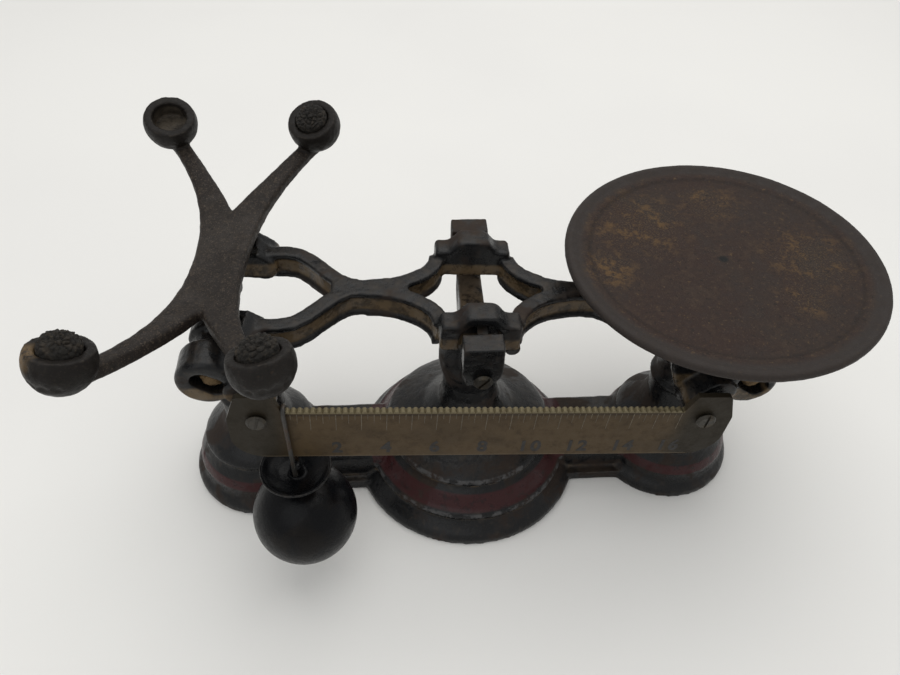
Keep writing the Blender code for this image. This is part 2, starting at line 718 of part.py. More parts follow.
def build_spider(iron, cork, axis, knife_z):
    """Four-armed holder with ball cups for the goods scoop; three cups still hold corks."""
    spider = sickle("spider", -1)
    other = sickle("right_sickle", 1)
    hub = disc("spider_hub", (0, 0, -SPIDER_THICKNESS / 2 - 0.1), 11.0, SPIDER_THICKNESS, "Z", 24)
    join(spider, other, hub)
    recess = CUP_RIM_Z - SPIDER_TOP
    corners = [(sx, sy) for sx in (-1, 1) for sy in (-1, 1)]
    for sx, sy in corners:
        spot = (sx * CUP_SPREAD[0], sy * CUP_SPREAD[1])
        ball = sphere("cup", (*spot, recess - 5.3), CUP_R, 16, 8)
        cut(ball, box("cup_top", (spot[0] - 20, spot[0] + 20), (spot[1] - 20, spot[1] + 20),
                      (recess, recess + 20)))
        join(spider, ball)
    for sx, sy in corners:
        spot = (sx * CUP_SPREAD[0], sy * CUP_SPREAD[1])
        cut(spider, disc("cup_recess", (*spot, recess), 8.4, 14.0, "Z", 16))
    cut(spider, disc("post_socket", (0, 0, -SPIDER_THICKNESS), 5.3, 10.6, "Z", 20))
    lift = SPIDER_TOP - knife_z
    turn = Matrix.Translation((0, 0, lift * MM)) @ Matrix.Rotation(SPIDER_TURN, 4, "Z")
    bake(spider)
    spider.data.transform(turn)
    finish(spider, iron, axis)
    for label, sx, sy, top in (("front_left", -1, -1, 4.6), ("front_right", 1, -1, 4.2),
                               ("rear_right", 1, 1, 3.2)):
        spot = (sx * CUP_SPREAD[0], sy * CUP_SPREAD[1])
        plug = disc("%s_cork" % label, (*spot, recess + (top - 6.6) / 2), 8.0, top + 6.6, "Z", 16)
        soften(plug, 1.6)
        bake(plug)
        plug.data.transform(turn)
        finish(plug, cork, axis)


# ---- poise -------------------------------------------------------------------------------
def bail_points(top, eye):
    """Closed wire loop in Y and Z: over the brass above, through the poise's eye below."""
    upper, lower, corner = 2.8, 4.3, 2.0
    over = arc(0, top - upper, upper, 0, 180, 9)
    left = arc(-lower + corner, eye + corner, corner, 180, 270, 5)
    right = arc(lower - corner, eye + corner, corner, 270, 360, 5)
    return [(0, y, z) for y, z in over + left + right]


def build_bail(steel, axis, drop):
    """Bail in the frame of its notch, clear of the tooth tips; drop is the eye's depth below."""
    bail = wire("poise_bail", bail_points(NOTCH_DEPTH + 0.15, -drop), WIRE_R, cyclic=True)
    return finish(bail, steel, axis)


def build_poise(iron, lead, axis):
    """Hollow ball with a dished flange and an eye, in the frame of the eye."""
    centre = POISE_CENTRE_Z - EYE_Z
    ball = arc(0, centre, POISE_R, 76, -76, 13)
    start = -math.degrees(math.acos(5.77 / POISE_CAVITY_R))
    cavity = arc(0, centre, POISE_CAVITY_R, start, 90, 8)
    dish = [(2.9, -3.6), (8, -2.4), (13, 0.4), (15.6, 2.9), (16.6, 2.9), (16.6, 1.6), (12.5, -2.6),
            (7.6, -6.2), (6.4, -8.6)]
    profile = [(0, 4.0), (1.8, 3.8), (2.9, 2.5)] + dish + ball + [(5.77, ball[-1][1])]
    profile += cavity[:-1] + [(0, centre + POISE_CAVITY_R)]
    poise = lathe("poise", profile, 24)
    cut(poise, disc("eye", (0, 0, 0), WIRE_R + 0.55, 16, "Y", 16))
    finish(poise, iron, axis)
    plug = disc("poise_plug", (0, 0, ball[-1][1] + 2.2), 5.4, 4.0, "Z", 24)
    return finish(plug, lead, axis)


# ---- assembly ----------------------------------------------------------------------------
def build():
    reset()
    iron = material("black_iron", (0.028, 0.026, 0.025), 0.55, 0.6)
    base_iron = material("base_iron", (0.022, 0.021, 0.023), 0.5, 0.5)
    plate_iron = material("plate_iron", (0.055, 0.030, 0.026), 0.6, 0.5)
    brass = material("old_brass", (0.13, 0.10, 0.055), 0.5, 0.9)
    steel = material("dull_steel", (0.20, 0.18, 0.15), 0.5, 0.9)
    cork = material("old_cork", (0.055, 0.042, 0.032), 0.95, 0.0)
    lead = material("lead_plug", (0.16, 0.16, 0.17), 0.6, 0.8)

    rise = ARM * math.sin(TILT)
    reach = ARM * math.cos(TILT)
    beam_axis = axis_empty("beam_axis", (0, 0, PIVOT_Z), TILT)
    check_axis = axis_empty("check_axis", (0, 0, CHECK_Z), TILT)
    left_axis = axis_empty("left_hanger_axis", (-reach, 0, PIVOT_Z + rise))
    right_axis = axis_empty("right_hanger_axis", (reach, 0, PIVOT_Z - rise))
    notch = Vector((-OUNCES * OUNCE / 2, POISE_Y, BRASS_Z[1]))
    notch = Matrix.Rotation(TILT, 3, "Y") @ notch + Vector((0, 0, PIVOT_Z))
    bail_axis = axis_empty("bail_axis", notch)
    poise_axis = axis_empty("poise_axis", (notch.x, notch.y, EYE_Z))

    build_base(base_iron)
    build_centre_bearings(iron, steel)
    build_main_beam(iron, beam_axis)
    build_knives(steel, beam_axis)
    build_brass_beam(brass, beam_axis)
    build_hangers(iron, steel, left_axis, right_axis)
    build_check_lever(iron, steel, check_axis)
    build_plate(plate_iron, right_axis, PIVOT_Z - rise)
    build_spider(iron, cork, left_axis, PIVOT_Z + rise)
    build_bail(steel, bail_axis, notch.z - EYE_Z)
    build_poise(iron, lead, poise_axis)

    shift = Vector((SHIFT_X, 0, 0)) * MM
    for obj in parts_collection.objects:
        if obj.parent is None:
            obj.location += shift


build()
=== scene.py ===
"""Antique counter scale: finished castings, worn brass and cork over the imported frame."""
import functools
import json
import math

import bmesh
import bpy
import numpy as np
from mathutils import Matrix, Vector, noise
from mathutils.bvhtree import BVHTree

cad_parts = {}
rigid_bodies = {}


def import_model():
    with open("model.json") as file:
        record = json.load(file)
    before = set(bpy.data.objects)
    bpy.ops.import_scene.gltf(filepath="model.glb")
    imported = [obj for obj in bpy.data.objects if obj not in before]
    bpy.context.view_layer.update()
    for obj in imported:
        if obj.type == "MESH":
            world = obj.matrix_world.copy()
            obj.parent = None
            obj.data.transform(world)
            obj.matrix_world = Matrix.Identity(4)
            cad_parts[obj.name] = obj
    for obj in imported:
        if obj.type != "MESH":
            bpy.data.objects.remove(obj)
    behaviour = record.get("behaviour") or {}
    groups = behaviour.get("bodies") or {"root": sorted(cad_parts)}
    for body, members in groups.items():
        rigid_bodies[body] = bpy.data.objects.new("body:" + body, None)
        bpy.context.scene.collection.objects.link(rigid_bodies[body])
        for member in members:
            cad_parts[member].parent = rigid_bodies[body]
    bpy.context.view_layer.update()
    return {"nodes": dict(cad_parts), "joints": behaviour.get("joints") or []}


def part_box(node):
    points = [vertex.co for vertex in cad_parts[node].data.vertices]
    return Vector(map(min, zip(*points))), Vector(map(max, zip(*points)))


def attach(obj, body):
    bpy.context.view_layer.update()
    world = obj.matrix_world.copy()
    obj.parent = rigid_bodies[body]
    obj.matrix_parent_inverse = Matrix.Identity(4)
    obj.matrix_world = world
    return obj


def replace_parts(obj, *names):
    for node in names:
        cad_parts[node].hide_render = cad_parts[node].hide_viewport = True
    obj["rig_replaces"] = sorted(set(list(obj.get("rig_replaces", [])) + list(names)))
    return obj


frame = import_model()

JOINTS = {joint["name"]: joint for joint in frame["joints"]}
PIVOT = Vector(JOINTS["beam_tilt"]["pos_m"])
RIGHT_AXIS = Vector(JOINTS["right_hanger_swing"]["pos_m"])
EYE = Vector(JOINTS["poise_swing"]["pos_m"])
ALONG = Vector(JOINTS["poise_slide"]["axis"]).normalized()
ACROSS = Vector((0, 1, 0))
UP = ALONG.cross(ACROSS).normalized()
ARM = (RIGHT_AXIS - PIVOT).dot(ALONG)

# Graduations. Lengths here and below are in metres.
OUNCE = 0.0109                   # poise travel for one ounce
OUNCES = 16
ZERO_MARK = -0.0872              # first graduation, along the beam from the pivot
TOOTH_ROOT = -0.0061             # foot of the notches, above the pivot line
MARK_DROP = 0.0006               # from the foot of the notches to the top of the lines
MARK_LENGTHS = (0.0117, 0.004, 0.0068, 0.004)     # whole, quarter, half, three quarters
MARK_HALF = 0.00015
OUNCE_MARK_HALF = 0.000195
MARK_TAPER = 0.6
MARK_PROUD = 0.00006
NUMBER_SIZE = 0.01092
NUMBER_FOOT = -0.0342            # foot of the numbers, above the pivot line
NUMBER_SPACING = 1.25
NUMBER_WEIGHT = 0.0004
NUMBER_NARROWING = 0.86

# Turned parts of the CAD: radius to make truly round, and the number of flats.
BELL_R, BELL_STEPS = 0.0665, 32
SIDE_R, SIDE_STEPS = 0.0412, 20
PLATE_R, PLATE_STEPS = 0.078, 44
POISE_NECK_R, POISE_STEPS = 0.03, 24
POISE_R = 0.0256
POISE_CENTRE_Z = 0.051
POISE_FLAT_DEPTH = 0.0006        # how far the flats lie under the true ball
CUP_R = 0.0132
CUP_CENTRE_Z = 0.178
CUP_FLAT_DEPTH = 0.0007
TOUCH = 0.0002                   # and how far outside it a point still counts as the ball's
ROUNDING_FADE = 0.08             # share of the radius over which the rounding fades out
WELD = 0.00001                   # points nearer than this are joined

# Cast skins: voxel, smoothing passes and depth of the unevenness.
SKINS = {
    "base_casting": (0.001, 3, 0.00012),
    "main_beam": (0.0008, 9, 0.00016),
    "weight_plate": (0.0009, 3, 0.00008),
    "spider": (0.0008, 5, 0.00020),
    "poise": (0.0007, 3, 0.00005),
    "left_pan_hanger": (0.0006, 3, 0.00008),
    "right_pan_hanger": (0.0006, 3, 0.00008),
    "front_bearing_cap": (0.0005, 6, 0.00012),
    "rear_bearing_cap": (0.0005, 6, 0.00012),
    "check_lever": (0.0007, 3, 0.00008),
}
LUMPS = (160, 520)               # lumps per metre of the uneven skin, coarse and fine
FINE_LUMPS = 0.6                 # strength of the fine lumps beside the coarse

# Lining behind the side pedestals' thin walls.
LINING = (0.0005, 0.0034)        # its depths under the skin
LINING_LEVELS = 12
LINING_STEPS = 40
FOOT_LINING = (0.002, 0.026)
FOOT_SPREAD = math.radians(118)  # either side of straight out, clear of the base's bars
UPPER_LINING = (0.025, 0.052)
FEELER = 0.1                     # rays to the wall start this far from the axis

# Cups and corks.
CUP_LEAN = math.radians(22)      # the cups lean in towards the middle of the holder
LEAN_FROM = -0.004               # height in the cup where the lean starts
LEAN_OVER = 0.007                # height over which it grows to the whole lean
CUP_MARGIN = 0.0003              # reach of the lean outside the cup's ball
CORK_SINK = 0.0026               # the cork's dome is this much lower than the CAD plug
CORK_LIFT = 0.0012
CORK_BLUNTNESS = 0.55            # power that flattens the dome; 1 is a plain ellipsoid
CORK_UNDERSIDE = 0.6             # depth of the underside beside the dome's height
CRUMBS = 380                     # crumbs per metre
CRUMB_DEPTH = 0.0040
CRUMB_TOP = 0.3                  # where a crumb's top is cut flat
CRUMB_SINK = 0.0008
CORK_LUMPS, CORK_LUMP_DEPTH = 700, 0.0007

# Rust plugs in the pockets at the beam's ends: offsets along, up and across, and half sizes.
RUST_AT = (0.0022, -0.0006, -0.0546)
RUST_HALF = (0.0052, 0.0047, 0.0042)
RUST_LUMPS = ((480, 0.0005), (1500, 0.0002))

# Places that the finishes mark, from the axes or above the floor.
BELL_STRIPE = (0.0182, 0.0258)
SIDE_STRIPE = (0.0168, 0.0224)
BELL_STRIPE_R = (0.0585, 0.0598)
SIDE_STRIPE_R = (0.0376, 0.0384)
STRIPE_SOFT = 0.0004
BELL_BEAD_R, BELL_BEAD_Z = (0.0455, 0.0478), (0.0312, 0.0345)
FOOT_BEAD_R, FOOT_BEAD_Z = (0.0570, 0.0588), (0.0148, 0.0180)
BEAD_SOFT = 0.0005
COLUMN_TOP = (0.108, 0.112)
CHANNEL = (-0.0098, -0.0022)     # channel along the beam's bars, above the pivot line
CHANNEL_SOFT = 0.0012
PATCHES = ((-0.035, 0.028, 0.034), (0.042, 0.000, 0.030), (-0.058, -0.005, 0.020),
           (0.006, 0.045, 0.020), (0.030, -0.028, 0.017))     # x and y on the plate, and size
PATCH_CORE = 0.15
PLATE_RIM = (0.0665, 0.071)
# painted shade in a narrow ring on the upper face, just inside the rim
PLATE_GROOVE_SHADE = (0.0635, 0.0655)
PLATE_GROOVE_SOFT = 0.0012
PLATE_FACE_DROP = 0.0005
# painted shade in the small hollow at the plate's middle
PLATE_DIMPLE_SHADE = (0.0012, 0.0035)
BOWL_R = (0.0135, 0.0155)
EMPTY_CUP_R = (0.0080, 0.0090)
STAIN_OFFSET = Vector((-0.0085, -0.003, 0.005))
STAIN_R = (0.0025, 0.008)
BRASS_ENDS = (0.080, 0.094)
BRASS_MIDDLE = (0.0875, 0.0885)
# painted highlight on the tops of the teeth, above the pivot line
BRASS_TEETH_HIGHLIGHT = (-0.0066, -0.0058)
# painted shade in a band just under the teeth
BRASS_UNDER_SHADE = (-0.0078, -0.0063)
BRASS_UNDER_SOFT = 0.0004
# painted highlight along the lower edge of the brass
BRASS_LOWER_EDGE_HIGHLIGHT = (-0.0366, -0.0369)
LEVEL = Vector((0, 0, 1))

FLOOR_HALF = 4.0
KEY_AT, KEY_SIZE, KEY_POWER = (0.15, 0.35, 1.5), 1.9, 13.5
KEY_TOWARDS = (0, 0, 0.05)
FILL_AT, FILL_SIZE, FILL_POWER = (-0.6, -0.9, 1.3), 1.6, 4.0
FILL_TOWARDS = (0, 0, 0.1)
SKY_STRENGTH = 0.60

CAMERA_AT = Vector((-0.04635, -0.27203, 0.39165))
CAMERA_RIGHT = Vector((0.99783, -0.06183, 0.02268))
CAMERA_DOWN = Vector((-0.02967, -0.72952, -0.68331))
CAMERA_LENS = 30.636             # millimetres, on the sensor below
CAMERA_SENSOR = 36.0
CAMERA_NEAR = 0.01


# ---- meshes ------------------------------------------------------------------------------
def place(name, data):
    """New object in the scene, at the origin."""
    obj = bpy.data.objects.new(name, data)
    bpy.context.scene.collection.objects.link(obj)
    return obj


def mesh_of(name, bm):
    """New mesh from a finished bmesh, which is freed."""
    mesh = bpy.data.meshes.new(name)
    bm.to_mesh(mesh)
    bm.free()
    return mesh


def points(mesh):
    """The mesh's points as rows."""
    co = np.empty(len(mesh.vertices) * 3)
    mesh.vertices.foreach_get("co", co)
    return co.reshape(-1, 3)


def put_points(mesh, co):
    """Moves the mesh's points to those rows."""
    mesh.vertices.foreach_set("co", co.ravel())
    mesh.update()


def settled(obj):
    """Applies the object's modifiers."""
    graph = bpy.context.evaluated_depsgraph_get()
    mesh = bpy.data.meshes.new_from_object(obj.evaluated_get(graph))
    obj.modifiers.clear()
    obj.data = mesh
    return mesh


def true_round(co, x, y, radius, steps):
    """Moves the flats of a part turned in so many steps out to a true circle."""
    dx = co[:, 0] - x
    dy = co[:, 1] - y
    far = np.hypot(dx, dy)
    half = math.pi / steps
    turn = np.mod(np.arctan2(dy, dx), 2 * half) - half
    share = np.clip((radius * (1 + ROUNDING_FADE) - far) / (radius * ROUNDING_FADE), 0, 1)
    factor = 1 + share * (np.cos(turn) / math.cos(half) - 1)
    co[:, 0] = x + dx * factor
    co[:, 1] = y + dy * factor


def true_ball(co, centre, radius, depth):
    """Moves points just under a ball's surface onto it."""
    away = co - np.array(centre)
    far = np.linalg.norm(away, axis=1)
    near = (far > radius - depth) & (far < radius + TOUCH)
    co[near] = np.array(centre) + away[near] * (radius / far[near])[:, None]


def feel_profile(surface, x, outward, levels):
    """Outer radius of a turned part at each height, felt from outside towards its axis."""
    radii = []
    for z in levels:
        start = Vector((x, 0, z)) + outward * FEELER
        hit = surface.ray_cast(start, -outward)[0]
        radii.append((hit - Vector((x, 0, z))).length)
    return radii


def line_wall(bm, surface, x, outward, heights, spread):
    """Lining just under a turned part's skin, so that remeshing leaves no pinholes in it."""
    low, high = heights
    levels = [low + (high - low) * i / LINING_LEVELS for i in range(LINING_LEVELS + 1)]
    radii = feel_profile(surface, x, outward, levels)
    outer = [(r - LINING[0], z) for r, z in zip(radii, levels)]
    inner = [(r - LINING[1], z) for r, z in zip(radii, levels)]
    loop = outer + inner[::-1]
    facing = math.atan2(outward.y, outward.x)
    rings = []
    for i in range(LINING_STEPS + 1):
        turn = facing - spread + 2 * spread * i / LINING_STEPS
        ring = [(x + r * math.cos(turn), r * math.sin(turn), z) for r, z in loop]
        rings.append([bm.verts.new(point) for point in ring])
    for ring, after in zip(rings, rings[1:]):
        for i in range(len(loop)):
            j = (i + 1) % len(loop)
            bm.faces.new((ring[i], ring[j], after[j], after[i]))
    for ring in (rings[0], rings[-1]):
        for i in range(LINING_LEVELS):
            bm.faces.new((ring[i], ring[i + 1], ring[-i - 2], ring[-i - 1]))


def lean(cup, cups):
    """Turn about a cup's centre that leans it towards the middle of the holder."""
    middle = sum(cups.values(), Vector()) / len(cups)
    inward = Vector((middle.x - cup.x, middle.y - cup.y, 0)).normalized()
    turn = Matrix.Rotation(CUP_LEAN, 4, LEVEL.cross(inward))
    return Matrix.Translation(cup) @ turn @ Matrix.Translation(-cup)


def leaning_spider(cups):
    """Copy of the holder with the open part of each cup leaned inwards."""
    bm = bmesh.new()
    bm.from_mesh(frame["nodes"]["spider"].data)
    bmesh.ops.remove_doubles(bm, verts=bm.verts, dist=WELD)
    for cup in cups.values():
        turn = lean(cup, cups)
        for vert in bm.verts:
            far = (vert.co - cup).length
            if far > CUP_R + CUP_MARGIN:
                continue
            share = min(1.0, max(0.0, (vert.co.z - cup.z - LEAN_FROM) / LEAN_OVER))
            moved = vert.co.lerp(turn @ vert.co, share)
            vert.co = cup + (moved - cup).normalized() * far
    return mesh_of("leaning_spider", bm)


def lined_base():
    """Copy of the base casting with a lining behind its thin walls."""
    bm = bmesh.new()
    bm.from_mesh(frame["nodes"]["base_casting"].data)
    bmesh.ops.remove_doubles(bm, verts=bm.verts, dist=WELD)
    surface = BVHTree.FromBMesh(bm)
    for side in (-1, 1):
        x = PIVOT.x + side * ARM
        line_wall(bm, surface, x, Vector((side, 0, 0)), FOOT_LINING, FOOT_SPREAD)
        line_wall(bm, surface, x, Vector((side, 0, 0)), UPPER_LINING, math.pi)
    bmesh.ops.recalc_face_normals(bm, faces=bm.faces)
    return mesh_of("lined_base", bm)


def cast_skin(node, rounds=(), balls=(), mesh=None):
    """Casting made from a CAD node, with its edges softened and its skin slightly uneven."""
    voxel, passes, grain = SKINS[node]
    obj = place(node + "_cast", mesh or frame["nodes"][node].data.copy())
    obj.data.materials.clear()
    weld = obj.modifiers.new("weld", "WELD")
    weld.merge_threshold = WELD
    remesh = obj.modifiers.new("remesh", "REMESH")
    remesh.mode = "VOXEL"
    remesh.voxel_size = voxel
    settled(obj)
    co = points(obj.data)
    for x, y, radius, steps in rounds:
        true_round(co, x, y, radius, steps)
    for centre, radius, depth in balls:
        true_ball(co, centre, radius, depth)
    put_points(obj.data, co)
    smooth = obj.modifiers.new("smooth", "SMOOTH")
    smooth.factor = 0.5
    smooth.iterations = passes
    settled(obj)
    roughen(obj.data, grain)
    obj.data.shade_smooth()
    return obj


def roughen(mesh, grain):
    """Pushes points in and out along their normals in lumps of two sizes."""
    co = points(mesh)
    normals = np.empty(len(co) * 3)
    mesh.vertex_normals.foreach_get("vector", normals)
    places = [Vector(row) for row in co]
    coarse, fine = LUMPS
    lumps = [noise.noise(at * coarse) + FINE_LUMPS * noise.noise(at * fine) for at in places]
    put_points(mesh, co + normals.reshape(-1, 3) * (np.array(lumps) * grain)[:, None])


def beam_point(x, z, y):
    """Point at x along the beam, z above the pivot line and y across."""
    return PIVOT + ALONG * x + UP * z + ACROSS * y


def beam_frame(x, z, y):
    """Matrix with its X along the beam, its Y up it and its Z towards the front."""
    turn = Matrix((ALONG, UP, -ACROSS)).transposed().to_4x4()
    return Matrix.Translation(beam_point(x, z, y)) @ turn


# ---- material nodes ----------------------------------------------------------------------
class Finish:
    """A Principled material whose colour is built up in layers over object coordinates."""

    def __init__(self, name, colour, metallic=0.0, specular=0.5, coat=0.0, coat_rough=0.2):
        self.mat = bpy.data.materials.new(name)
        self.mat.use_nodes = True
        self.tree = self.mat.node_tree
        self.shader = self.tree.nodes["Principled BSDF"]
        self.shader.inputs["Metallic"].default_value = metallic
        self.shader.inputs["Specular IOR Level"].default_value = specular
        self.shader.inputs["Coat Weight"].default_value = coat
        self.shader.inputs["Coat Roughness"].default_value = coat_rough
        self.coords = self.tree.nodes.new("ShaderNodeTexCoord").outputs["Object"]
        self.geometry = self.tree.nodes.new("ShaderNodeNewGeometry")
        self.colour = self.solid(colour)

    def solid(self, colour):
        """Plain colour."""
        node = self.tree.nodes.new("ShaderNodeRGB")
        node.outputs[0].default_value = (*colour, 1.0)
        return node.outputs[0]

    def noise(self, scale, detail=5.0, roughness=0.6, warp=0.0):
        """Soft noise with so many lumps to the metre."""
        node = self.tree.nodes.new("ShaderNodeTexNoise")
        node.inputs["Scale"].default_value = scale
        node.inputs["Detail"].default_value = detail
        node.inputs["Roughness"].default_value = roughness
        node.inputs["Distortion"].default_value = warp
        self.tree.links.new(self.coords, node.inputs["Vector"])
        return node.outputs["Fac"]

    def between(self, value, low, high, bottom=0.0, top=1.0):
        """Smooth step of a value, from bottom at low to top at high."""
        node = self.tree.nodes.new("ShaderNodeMapRange")
        node.interpolation_type = "SMOOTHSTEP"
        node.inputs["From Min"].default_value = low
        node.inputs["From Max"].default_value = high
        node.inputs["To Min"].default_value = bottom
        node.inputs["To Max"].default_value = top
        self.tree.links.new(value, node.inputs["Value"])
        return node.outputs["Result"]

    def math(self, operation, a, b):
        """Math node; each operand is a socket or a float."""
        node = self.tree.nodes.new("ShaderNodeMath")
        node.operation = operation
        for socket, value in zip(node.inputs, (a, b)):
            if isinstance(value, float):
                socket.default_value = value
            else:
                self.tree.links.new(value, socket)
        return node.outputs[0]

    def both(self, a, b):
        """Product of two masks, or of a mask and a strength."""
        return self.math("MULTIPLY", a, b)

    def either(self, a, b):
        """The stronger of two masks."""
        return self.math("MAXIMUM", a, b)

    def any_of(self, masks):
        """The strongest of several masks."""
        return functools.reduce(self.either, masks)

    def along(self, direction, origin=Vector((0, 0, 0))):
        """Distance from the origin along a direction."""
        node = self.tree.nodes.new("ShaderNodeVectorMath")
        node.operation = "DOT_PRODUCT"
        node.inputs[1].default_value = direction
        self.tree.links.new(self.coords, node.inputs[0])
        return self.math("SUBTRACT", node.outputs["Value"], float(origin.dot(direction)))

    def from_axis(self, x, y):
        """Distance from an upright axis."""
        flat = self.tree.nodes.new("ShaderNodeVectorMath")
        flat.operation = "MULTIPLY"
        flat.inputs[1].default_value = (1, 1, 0)
        self.tree.links.new(self.coords, flat.inputs[0])
        node = self.tree.nodes.new("ShaderNodeVectorMath")
        node.operation = "DISTANCE"
        node.inputs[1].default_value = (x, y, 0)
        self.tree.links.new(flat.outputs[0], node.inputs[0])
        return node.outputs["Value"]

    def from_point(self, point):
        """Distance from a point."""
        node = self.tree.nodes.new("ShaderNodeVectorMath")
        node.operation = "DISTANCE"
        node.inputs[1].default_value = point
        self.tree.links.new(self.coords, node.inputs[0])
        return node.outputs["Value"]

    def facing(self, direction, low, high):
        """Mask of the surface that faces a direction."""
        node = self.tree.nodes.new("ShaderNodeVectorMath")
        node.operation = "DOT_PRODUCT"
        node.inputs[1].default_value = direction
        self.tree.links.new(self.geometry.outputs["Normal"], node.inputs[0])
        return self.between(node.outputs["Value"], low, high)

    def edges(self, low, high):
        """Mask of the outer edges."""
        return self.between(self.geometry.outputs["Pointiness"], low, high)

    def band(self, value, low, high, soft):
        """Mask of the values from low to high, with soft borders."""
        rise = self.between(value, low - soft, low + soft)
        fall = self.between(value, high - soft, high + soft, 1.0, 0.0)
        return self.both(rise, fall)

    def layer(self, mask, colour, strength=1.0):
        """Lays a colour over the layers so far, where the mask is."""
        node = self.tree.nodes.new("ShaderNodeMix")
        node.data_type = "RGBA"
        if strength != 1.0:
            mask = self.both(mask, strength)
        self.tree.links.new(mask, node.inputs["Factor"])
        self.tree.links.new(self.colour, node.inputs["A"])
        node.inputs["B"].default_value = (*colour, 1.0)
        self.colour = node.outputs["Result"]

    def done(self, rough, heights):
        """Links the colour, the roughness and a bump summed from (height, depth) pairs."""
        self.tree.links.new(self.colour, self.shader.inputs["Base Color"])
        self.tree.links.new(rough, self.shader.inputs["Roughness"])
        normal = None
        for height, depth in heights:
            bump = self.tree.nodes.new("ShaderNodeBump")
            bump.inputs["Strength"].default_value = 1.0
            bump.inputs["Distance"].default_value = depth
            self.tree.links.new(height, bump.inputs["Height"])
            if normal is not None:
                self.tree.links.new(normal, bump.inputs["Normal"])
            normal = bump.outputs["Normal"]
        self.tree.links.new(normal, self.shader.inputs["Normal"])
        return self.mat


def japanned(name, extra=None):
    """Near-black japan on cast iron, rusty where it has worn and dusty in the hollows."""
    paint = Finish(name, (0.0060, 0.0063, 0.0070), specular=0.24)
    broad = paint.noise(38, 6, 0.62, 0.4)
    mottle = paint.noise(190, 6, 0.65)
    fine = paint.noise(1500, 3, 0.6)
    rust = paint.between(broad, 0.50, 0.64)
    paint.layer(rust, (0.026, 0.016, 0.011), 0.75)
    paint.layer(paint.between(mottle, 0.55, 0.72), (0.034, 0.027, 0.021), 0.6)
    hollow = paint.between(paint.geometry.outputs["Pointiness"], 0.485, 0.44)
    level = paint.facing(LEVEL, 0.75, 1.0)
    settled_dust = paint.either(hollow, paint.both(level, 0.12))
    dusty = paint.both(settled_dust, paint.between(mottle, 0.35, 0.6))
    paint.layer(dusty, (0.095, 0.066, 0.038), 0.8)
    worn = paint.both(paint.edges(0.53, 0.58), paint.between(mottle, 0.42, 0.55))
    paint.layer(worn, (0.085, 0.078, 0.07), 0.7)
    paint.layer(paint.between(fine, 0.66, 0.74), (0.10, 0.075, 0.05), 0.4)
    if extra:
        extra(paint, mottle)
    rough = paint.between(paint.math("ADD", mottle, rust), 0.35, 1.5, 0.26, 0.72)
    return paint.done(rough, [(broad, 0.0008), (mottle, 0.0003), (fine, 0.00006)])


def base_marks(paint, mottle):
    """Dull red stripes, bare metal on the bell's beads, and dirt on the column top."""
    height = paint.along(LEVEL)
    chips = paint.between(mottle, 0.32, 0.5, 0.35, 1.0)
    bell = paint.between(paint.from_axis(PIVOT.x, 0), *BELL_STRIPE_R, 1.0, 0.0)
    left = paint.between(paint.from_axis(PIVOT.x - ARM, 0), *SIDE_STRIPE_R, 1.0, 0.0)
    right = paint.between(paint.from_axis(PIVOT.x + ARM, 0), *SIDE_STRIPE_R, 1.0, 0.0)
    bell_band = paint.both(bell, paint.band(height, *BELL_STRIPE, STRIPE_SOFT))
    sides = paint.either(left, right)
    side_band = paint.both(sides, paint.band(height, *SIDE_STRIPE, STRIPE_SOFT))
    stripes = paint.both(paint.either(bell_band, side_band), chips)
    paint.layer(stripes, (0.034, 0.0070, 0.0078), 0.88)
    bell_bead = paint.both(paint.band(paint.from_axis(PIVOT.x, 0), *BELL_BEAD_R, BEAD_SOFT),
                           paint.band(height, *BELL_BEAD_Z, STRIPE_SOFT))
    foot_bead = paint.both(paint.band(paint.from_axis(PIVOT.x, 0), *FOOT_BEAD_R, BEAD_SOFT),
                           paint.band(height, *FOOT_BEAD_Z, STRIPE_SOFT))
    bare = paint.both(paint.either(bell_bead, foot_bead), paint.between(mottle, 0.46, 0.58))
    paint.layer(bare, (0.072, 0.071, 0.072), 0.75)
    top = paint.both(paint.between(height, *COLUMN_TOP), paint.facing(LEVEL, 0.3, 0.8))
    paint.layer(paint.both(top, paint.between(mottle, 0.3, 0.6)), (0.085, 0.062, 0.04), 0.9)


def beam_marks(paint, mottle):
    """Tan dust along the channels of the beam's bars, partly a painted highlight where the channel's
    lower lip catches the light.
    """
    height = paint.along(UP, PIVOT)
    channel = paint.band(height, *CHANNEL, CHANNEL_SOFT)
    side = paint.math("SUBTRACT", 1.0, paint.facing(LEVEL, 0.35, 0.8))
    # partly dust in the channel and partly a painted highlight on its lower lip
    grime_and_highlight = paint.both(paint.both(channel, side), paint.between(mottle, 0.36, 0.56, 0.35, 1.0))
    paint.layer(grime_and_highlight, (0.12, 0.083, 0.045), 0.85)


